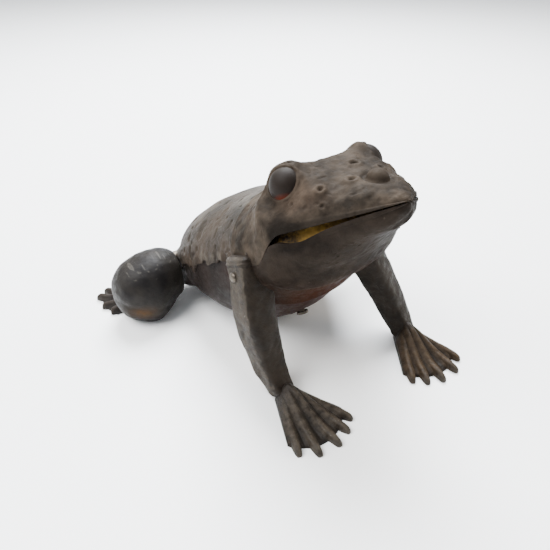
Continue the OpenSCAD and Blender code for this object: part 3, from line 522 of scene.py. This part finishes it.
# The mark high: faces turned up are paler, partly painted highlight; the pale chips are wear; the dips and
# the mouth's corner are darker as painted shade, and the lip is darker too.
jaw = skin_piece("jaw_skin", standing(jaw_grid), standing(head_pt(s, a, 0) - drop),
                 high=(0.5 * upness(plain, [0, -45, mouth_n]) + 0.02 + 0.3 * relief + 0.4 * chips - 0.3 * lip
                       - 0.6 * mouth_corner_shade(s, t)),
                 rust=0.8 * bump(np.abs(t), 0.5) * ramp((s - 0.55) / 0.3))
finished(jaw, "body", "warm_patina", patina, "jaw_shell")

# ---- Mouth
# Between the lips a folded strip closes the mouth. It was painted ochre yellow by hand, thick and
# lumpy at the corners. Its ochre is painted dark under the upper lip and into the corner of the mouth,
# as painted shade, and it is darker towards the snout.
s_side, v = np.linspace(0.61, 0.02, 130), np.linspace(0, 1, 26)[None, :]
s_run = np.concatenate([s_side, s_side[::-1]])[:, None]
flank = np.repeat([-1.0, 1.0], len(s_side))[:, None]
upper = head_pt(s_run, math.pi / 2, 0)
inward = 2.9 - 2.1 * v
depth = 0.9 - v * (1.6 + parted(s_run, 1.0))
strip = np.stack([flank * np.maximum(upper[..., 0] - inward, 0.05), upper[..., 1] + inward * 0.35 + 0 * v,
                  upper[..., 2] + depth], -1)
lumps = 0.28 * mottle(strip, 1.5, 41) + 0.15 * mottle(strip, 0.8, 42)
strip = strip + lumps[..., None] * np.array([1, 0, 0]) * flank[..., None]
inside = strip - np.stack([flank * 0.5 + 0 * v, 0 * lumps, 0 * lumps], -1)
ochre = bpy.data.materials.new("ochre_paint")
ochre.use_nodes = True
tree = ochre.node_tree
place = add(tree, "TexCoord")
clean = add(tree, "Attribute", attribute_name="clean")
spots = add(tree, "TexNoise", [(place, "Object", "Vector")], Scale=1000 / 1.6, Detail=4, Roughness=0.65)
ochre_shade_and_spots = add(tree, "Math", [(clean, "Fac", 0), (spots, "Fac", 1)], operation="ADD")
tone = add(tree, "ValToRGB", [(ochre_shade_and_spots, 0, "Fac")])
tone.color_ramp.elements[0].position, tone.color_ramp.elements[0].color = 0.42, shade("#17110c")
tone.color_ramp.elements[1].position, tone.color_ramp.elements[1].color = 1.0, shade("#6a5222")
middle_tone = tone.color_ramp.elements.new(0.72)
middle_tone.color = shade("#4f3c18")
tree.links.new(tone.outputs["Color"], tree.nodes["Principled BSDF"].inputs["Base Color"])
thick = add(tree, "Bump", [(spots, "Fac", "Height")], Strength=0.4, Distance=0.0004)
tree.links.new(thick.outputs["Normal"], tree.nodes["Principled BSDF"].inputs["Normal"])
tree.nodes["Principled BSDF"].inputs["Roughness"].default_value = 0.65
tree.nodes["Principled BSDF"].inputs["Specular IOR Level"].default_value = 0.1
# Painted shade: the ochre is dark under the upper lip (v below 0.5) and into the mouth's corner (s above
# 0.46); it is also darker towards the snout.
painted = 0.02 + 0.46 * ramp((s_run - 0.17) / 0.2) * ramp(v / 0.5) * ramp((0.46 - s_run) / 0.04)
gums = skin_piece("mouth_strip", standing(strip), standing(inside), clean=painted)
finished(gums, "body", "ochre_paint", ochre, "mouth_plate")

# ---- Eyes
# Each eye is a ball of dark brown glass, sprung into its hole from inside and held by a short peg. Old
# dust and handling have dulled its face, and its upper part is paler, partly dust and partly painted
# sheen. Its lower edge is painted red-brown, as painted light coming through the glass.
glass = bpy.data.materials.new("dulled_brown_glass")
glass.use_nodes = True
tree = glass.node_tree
shader = tree.nodes["Principled BSDF"]
place = add(tree, "TexCoord")
dust_and_sheen = add(tree, "Attribute", attribute_name="high")
painted_through_light = add(tree, "Attribute", attribute_name="rust")
veins = add(tree, "TexNoise", [(place, "Object", "Vector")], Scale=1000 / 2.5, Detail=5, Roughness=0.6)
iris = add(tree, "Mix", [(painted_through_light, "Fac", 0)], data_type="RGBA")
iris.inputs[6].default_value, iris.inputs[7].default_value = shade("#17110d"), shade("#4a1c0e")
film = add(tree, "Math", [(dust_and_sheen, "Fac", 0), (veins, "Fac", 1)], operation="MULTIPLY", use_clamp=True)
face = add(tree, "Mix", [(film, 0, 0), (iris, 2, 6)], data_type="RGBA")
face.inputs[7].default_value = shade("#3a3630")
tree.links.new(face.outputs[2], shader.inputs["Base Color"])
haze = add(tree, "MapRange", [(film, 0, "Value")], To_Min=0.6, To_Max=0.8)
tree.links.new(haze.outputs[0], shader.inputs["Roughness"])
shader.inputs["IOR"].default_value = 1.52
shader.inputs["Specular IOR Level"].default_value = 0.1
for side, name in ((-1, "right"), (1, "left")):
    middle, look = eye_frame(side)
    polar, around = np.linspace(0, math.pi, 65)[:, None], np.linspace(0, 2 * math.pi, 97)[None, :]
    first = np.cross(look, [0, 0, 1.0])
    first /= np.linalg.norm(first)
    second = np.cross(first, look)
    ball = (np.cos(polar)[..., None] * look + (np.sin(polar) * np.cos(around))[..., None] * first
            + (np.sin(polar) * np.sin(around))[..., None] * second)
    tall = ball @ second
    # The upper part of the ball is paler, dust and painted sheen; the lower edge is painted red-brown, as
    # light through the glass.
    eyeball = skin_piece(name + "_eyeball", standing(middle + eye_r * ball), ring=True,
                         high=0.85 * ramp((tall - 0.25) / 0.7), rust=ramp((-tall - 0.62) / 0.3))
    finished(eyeball, "body", "eye_glass", glass, name + "_eye")

# ---- Forelegs
# Each foreleg is a tube of two pressed halves, so a sharp seam runs down its front. Its top is cut
# square with a double rolled hem, and it ends in a webbed foot of five toes, pressed as one fan.
arm_r = 6.5
ankle = np.array([29.6, -34])
toe_ends = np.array([[39, -57.5], [33.2, -61.3], [25.3, -61.8], [19.3, -59.4], [15, -55.8]])
right_arm = [[0, -28, -11, 42, arm_r], [0.38, -30.5, -18.5, 28, arm_r], [0.78, -30, -25.5, 12, 0.84 * arm_r],
             [1, -29.5, -33, 4.2, 0.62 * arm_r]]
left_arm = [[0, 20, -12.5, 37, 1.1 * arm_r], [0.35, 24.3, -19.5, 27, 0.92 * arm_r],
            [0.75, 28.6, -27, 14, 0.8 * arm_r], [1, 30, -34.6, 4.2, 0.62 * arm_r]]


def limb(rows, squareness, seam_turn, hem):
    """A tube along a smooth path: round the path its section is a superellipse of the given squareness,
    turned so that one corner, the seam, faces seam_turn. Both ends close in a dome, the upper one squarer
    than the lower, and `hem` is the height of the rolled ridges round the upper end."""
    v = np.linspace(0, 1, 150)
    path = along(rows, v)
    tangent = np.gradient(path[:, :3], axis=0)
    tangent /= np.linalg.norm(tangent, axis=1, keepdims=True)
    across = np.array([1.0, 0, 0]) - tangent * tangent[:, :1]
    across /= np.linalg.norm(across, axis=1, keepdims=True)
    fore = np.cross(tangent, across)
    run = np.concatenate([[0], np.cumsum(np.linalg.norm(np.diff(path[:, :3], axis=0), axis=1))])
    over, under = path[0, 3] * 0.95, path[-1, 3] * 0.8
    run = run - over + (run / run[-1]) * (over + under)
    total = run[-1] - under
    even = np.linspace(0, total, 150)
    centre = np.stack([np.interp(run, even, path[:, i]) for i in range(3)], 1)
    centre += np.minimum(run, 0)[:, None] * tangent[0] + np.maximum(run - total, 0)[:, None] * tangent[-1]
    size = np.interp(run, even, path[:, 3])
    square_end, round_end = np.clip(-run / over, 0, 1), np.clip((run - total) / under, 0, 1)
    cap = (1 - square_end ** 5) ** 0.2 * np.sqrt(1 - round_end ** 2)
    angle = np.linspace(0, 2 * math.pi, 121)[None, :]
    turned = angle - seam_turn - math.pi / 4
    section = np.abs(np.cos(turned)) ** squareness + np.abs(np.sin(turned)) ** squareness
    section = section ** (-1 / squareness)
    down = (run + over)[:, None]
    ridges = hem * (0.35 * bump(down - 1.6, 0.45) + 0.35 * bump(down - 3.2, 0.45)
                    - 0.25 * bump(down - 4.1, 0.5))
    radius = (size * cap)[:, None] * section * 0.97 + ridges * cap[:, None]
    return (centre[:, None] + radius[..., None] * (np.cos(angle)[..., None] * across[:, None]
                                                   + np.sin(angle)[..., None] * fore[:, None]))


def webbed_foot(ankle_at, tips, web, arch, start):
    """A webbed fan over a flat sole. The angle runs across the toes and the share q out to an outline that
    peaks at each toe and falls to the web between; the height is a ridge along each toe, thin between them,
    and rises as an arch towards the ankle. The rays meet `start` mm behind the ankle, so that the fan is as
    wide as the wrist where it leaves it. Gives the top grid, the sole grid, the ridges and the distances."""
    root = ankle_at - start * np.mean(tips - ankle_at, 0) / np.linalg.norm(np.mean(tips - ankle_at, 0))
    reach = np.linalg.norm(tips - root, axis=1)
    heading = np.unwrap(np.arctan2(*(tips - root).T[::-1]))
    order = np.argsort(heading)
    reach, heading = reach[order], heading[order]
    margin = 3.2 / reach.mean()
    angle = np.linspace(heading[0] - margin, heading[-1] + margin, 241)[None, :]
    q = np.linspace(0, 1, 90)[:, None]
    toes = np.stack([np.exp(-(np.abs(angle - c) * r / 2.75) ** 4) * r for c, r in zip(heading, reach)]).max(0)
    hand = np.interp(angle[0], heading, reach)[None, :] * web
    inner = (angle > heading[0]) & (angle < heading[-1])
    outer_hand = hand * ramp(1.5 - np.abs(angle - heading.mean()) / np.ptp(heading))
    outline = np.maximum(np.where(inner, hand, outer_hand), toes)
    far = start + q * (outline - start)
    ridge_w = 1.2 + 0.035 * far
    ridge = np.stack([np.exp(-(np.abs(angle - c) * far / ridge_w) ** 2.4) for c in heading]).max(0)
    ridge = ridge * (0.45 + 0.6 * far / reach.mean()) * ramp((far - start) / 8)
    edge_fall = np.sqrt(np.clip(1 - q ** 9, 0, 1))
    climb = 1 - ramp((far - start) / (0.8 * (reach.mean() - start)))
    arched = arch * climb * np.cos((angle - heading.mean()) / np.ptp(angle) * 3)
    height = (1.0 + 2.1 * ridge + arched) * edge_fall
    height = height * (0.75 + 0.25 * ramp((far - start) / 3))
    x, y = root[0] + far * np.cos(angle), root[1] + far * np.sin(angle)
    noise = 0.12 * mottle(np.stack([x, y, 0 * x], -1), 1.6, 51)
    top = np.stack([x, y, height + noise * ridge + 0.35], -1)
    return top, np.stack([x, y, 0 * x + 0.02], -1), ridge, far


for side, name, rows, seam in ((-1, "right", right_arm, 2.25), (1, "left", left_arm, 2.0)):
    tube = limb(rows, 4.2, seam, 1 if side < 0 else 0.5)
    tube = tube + outward(tube, tube.mean(1, keepdims=True)) * (
        0.35 * mottle(tube, (4, 4, 8), 52) + 0.16 * mottle(tube, 1.8, 53))[..., None]
    tube[..., 2] = np.maximum(tube[..., 2], 0.1)
    normal = outward(tube, tube.mean(1, keepdims=True))
    # The side of the leg turned outwards, back and up, towards the light, is painted paler: a painted
    # highlight.
    lit_side = np.clip(normal @ [side * 0.85, 0.35, 0.4], 0, 1)
    patina = lacquer("dark_lacquer_%s_foreleg" % name, "#0f0d0b", "#1e1a16", "#4e4840", "#37260f",
                     patch_mm=7, roughness=0.54, pits=0.6)
    arm = skin_piece(name + "_arm", tube, ring=True,
                     high=0.7 * ramp((lit_side - 0.5) / 0.3) + 0.08 * mottle(tube, 3, 54),
                     rust=0.1)
    finished(arm, "body", "leg_patina", patina, name + "_foreleg")
    top, sole, ridge, far = webbed_foot(ankle, toe_ends, 0.88, 8.6, 6)
    if side < 0:
        top, sole = top * [-1, 1, 1], sole * [-1, 1, 1]
    worn_and_lit, browned = (0.55, 0.15) if side < 0 else (0.42, 0.6)
    foot = skin_piece(name + "_front_foot", top, sole,
                      high=worn_and_lit * ridge + 0.22, rust=browned * ridge * ramp((35 - far) / 8))
    finished(foot, "body", "leg_patina", patina)

# ---- Folded hind legs
# Thigh and shin are pressed together as one hollow rounded lump on each side, closed by a plate with a
# round boss on the hip axle. The long toes of the hind foot are soldered on and point backwards.
thigh_x, thigh_w, thigh_len, thigh_h = body_w / 2 + back_out + 0.4, 28.5, 27, 28
thigh_mid, thigh_turn, thigh_round = (38.4, 0.45 * thigh_h), math.radians(118), 2.25


def thigh_pt(t, a, d=0):
    """A point of the folded leg, the share t from its outer end to its open rim and at the angle a round it:
    rings whose size follows the sine of the turn so far, flattened where they would pass the ground."""
    p = thigh_turn * t
    r = np.clip(np.sin(p), 0, None) ** 0.8
    return np.stack(np.broadcast_arrays(
        thigh_x + (thigh_w + d) * (np.cos(p) - math.cos(thigh_turn)) / (1 - math.cos(thigh_turn)),
        thigh_mid[0] + (thigh_len / 2 + d) * r * bend(np.cos(a), thigh_round),
        np.maximum(thigh_mid[1] + (thigh_h * 0.55 + d) * r * bend(np.sin(a), thigh_round), -min(d, 0))), -1)


hind_root = np.array([54, 47])
hind_toes = np.array([[55.5, 61.8], [61.5, 61.9], [66, 59.2], [66.4, 51.5], [64.6, 45.6]])
hip = standing(np.array([0, *hip_place]))
t, a = np.linspace(0, 1.5, 190)[:, None], np.linspace(0, 2 * math.pi, 181)[None, :]
for side, name in ((-1, "right"), (1, "left")):
    plain = thigh_pt(np.minimum(t, 1), a)
    neck = ramp((np.minimum(t, 1) - 0.6) / 0.4)
    plain[..., 1] += neck * (2.0 - 0.24 * (plain[..., 1] - thigh_mid[0]))
    plain[..., 2] += neck * (2.2 - 0.22 * (plain[..., 2] - thigh_mid[1]))
    shut = np.clip((t - 1) / 0.5, 0, 1)[..., None]
    rim = np.clip((np.minimum(t, 1) - 0.84) / 0.16, 0, 1)[..., None] ** 2
    plain[..., 1:] -= (plain[..., 1:] - thigh_mid) * 0.12 * rim
    to_hip = np.array([thigh_x, hip[1], hip[2]])
    plain = to_hip + (plain - to_hip) * (1 - shut)
    from_hip = np.linalg.norm((plain - to_hip)[..., 1:], axis=-1)
    boss = 0.12 * (from_hip < 7.5)
    plain[..., 0] -= (boss + 0.15 * ramp(shut[..., 0] / 0.15)) * (shut[..., 0] > 0)
    out = outward(plain, [thigh_x + 10, thigh_mid[0], thigh_mid[1]])
    relief = 0.32 * mottle(plain, 8, 61 + side) + 0.12 * mottle(plain, 2.3, 63)
    knee = np.linalg.norm((plain - [56, 28, 8.5]) * [0.8, 0.8, 1.5], axis=-1)
    crease = bump(plain[..., 2] - 9 - 0.25 * (plain[..., 0] - 50), 1.6) * ramp((40 - plain[..., 1]) / 6)
    relief = relief - 0.35 * crease
    grid = plain + out * (relief * ramp((1 - t) / 0.05))[..., None]
    grid[..., 2] = np.maximum(grid[..., 2], 0.02)
    scratch = ramp((mottle(plain, (0.9, 9, 0.7), 64) - 0.35) / 0.2) * ramp((plain[..., 2] - 19) / 5)
    # Up-facing faces are paler: partly dust, partly painted highlight.
    dust = np.clip(out @ [0.25, 0, 0.95], 0, 1) ** 2
    if side < 0:
        grid = grid * [-1, 1, 1]
    patina = lacquer("dark_lacquer_%s_hind_leg" % name, "#121010", "#201d1a", "#56534d", "#463018",
                     patch_mm=9, roughness=0.5, pits=0.45)
    # The mark high: up-facing faces paler, partly painted highlight; the crease along the fold of the leg
    # darker, as painted shade; scratches on the top paler.
    lump = skin_piece(name + "_hind_leg", grid, ring=True,
                      high=0.14 * dust + 0.55 * scratch + 0.25 * relief, rust=0.75 * bump(knee, 4))
    finished(lump, "legs", "leg_patina", patina, name + "_thigh", name + "_thigh_plate")
    top, sole, ridge, far = webbed_foot(hind_root, hind_toes, 0.9, 3.5, 5)
    if side < 0:
        top, sole = top * [-1, 1, 1], sole * [-1, 1, 1]
    foot = skin_piece(name + "_hind_toes", top, sole, high=0.2 * ridge, rust=0.1 * ridge)
    finished(foot, "legs", "leg_patina", patina, name + "_hind_foot")

# ---- Clockwork
# The motor inside and its key: plates, posts and shafts of plain steel, dulled by oil; wheels and nuts
# stamped from brass; springs of blued steel. The key and the fixings that show have darkened with age.


stain_mm = 5


def worked_metal(name, tone, stain, line_mm, stretch, roughness):
    """A worked metal: metallic, default IOR, its colour varied by stains stain_mm across and its roughness
    by lines line_mm apart, drawn out `stretch` times along the body, as rolling or turning leaves them."""
    material = bpy.data.materials.new(name)
    material.use_nodes = True
    tree = material.node_tree
    shader = tree.nodes["Principled BSDF"]
    shader.inputs["Metallic"].default_value = 1
    place = add(tree, "TexCoord")
    drawn = add(tree, "Mapping", [(place, "Object", "Vector")])
    drawn.inputs["Scale"].default_value = (1, 1 / stretch, 1)
    drawn.inputs["Rotation"].default_value = (pitch, 0, 0)
    lines = add(tree, "TexNoise", [(drawn, "Vector", "Vector")],
                Scale=1000 / line_mm, Detail=3, Roughness=0.6)
    stains = add(tree, "TexNoise", [(place, "Object", "Vector")],
                 Scale=1000 / stain_mm, Detail=5, Roughness=0.6)
    mix = add(tree, "ValToRGB", [(stains, "Fac", "Fac")])
    mix.color_ramp.elements[0].position, mix.color_ramp.elements[0].color = 0.38, shade(stain)
    mix.color_ramp.elements[1].position, mix.color_ramp.elements[1].color = 0.58, shade(tone)
    tree.links.new(mix.outputs["Color"], shader.inputs["Base Color"])
    dull = add(tree, "MapRange", [(lines, "Fac", "Value")], From_Min=0.3, From_Max=0.7,
               To_Min=roughness - 0.1, To_Max=roughness + 0.12)
    tree.links.new(dull.outputs[0], shader.inputs["Roughness"])
    fine = add(tree, "Bump", [(lines, "Fac", "Height")], Strength=0.15, Distance=0.0001)
    tree.links.new(fine.outputs["Normal"], shader.inputs["Normal"])
    return material


steel = worked_metal("rolled_mild_steel", "#a8a6a1", "#77726b", 0.35, 12, 0.38)
brass = worked_metal("stamped_brass", "#c9a257", "#8d6c37", 0.4, 6, 0.34)
blued = worked_metal("blued_spring_steel", "#4c5564", "#2f333b", 0.3, 8, 0.3)
darkened = worked_metal("darkened_key_steel", "#5a544c", "#332d27", 0.5, 4, 0.5)
for finish, group in (
    (steel, ("right_motor_plate", "left_motor_plate", "pillars", "mount_bars", "winding_arbor",
             "click_rivet", "click", "second_arbor", "cam_arbor", "kick_cam", "fly_arbor", "fly_vane",
             "hip_axle", "kick_lever")),
    (brass, ("pillar_nuts", "ratchet_wheel", "great_wheel", "second_wheel", "cam_wheel")),
    (blued, ("mainspring", "return_spring", "click_spring")),
    (darkened, ("key_hub", "key_bow", "shoulder_rivets", "hip_bushes", "hip_nuts", "belly_screws")),
):
    for name in group:
        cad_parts[name].data.materials.clear()
        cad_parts[name].data.materials.append(finish)
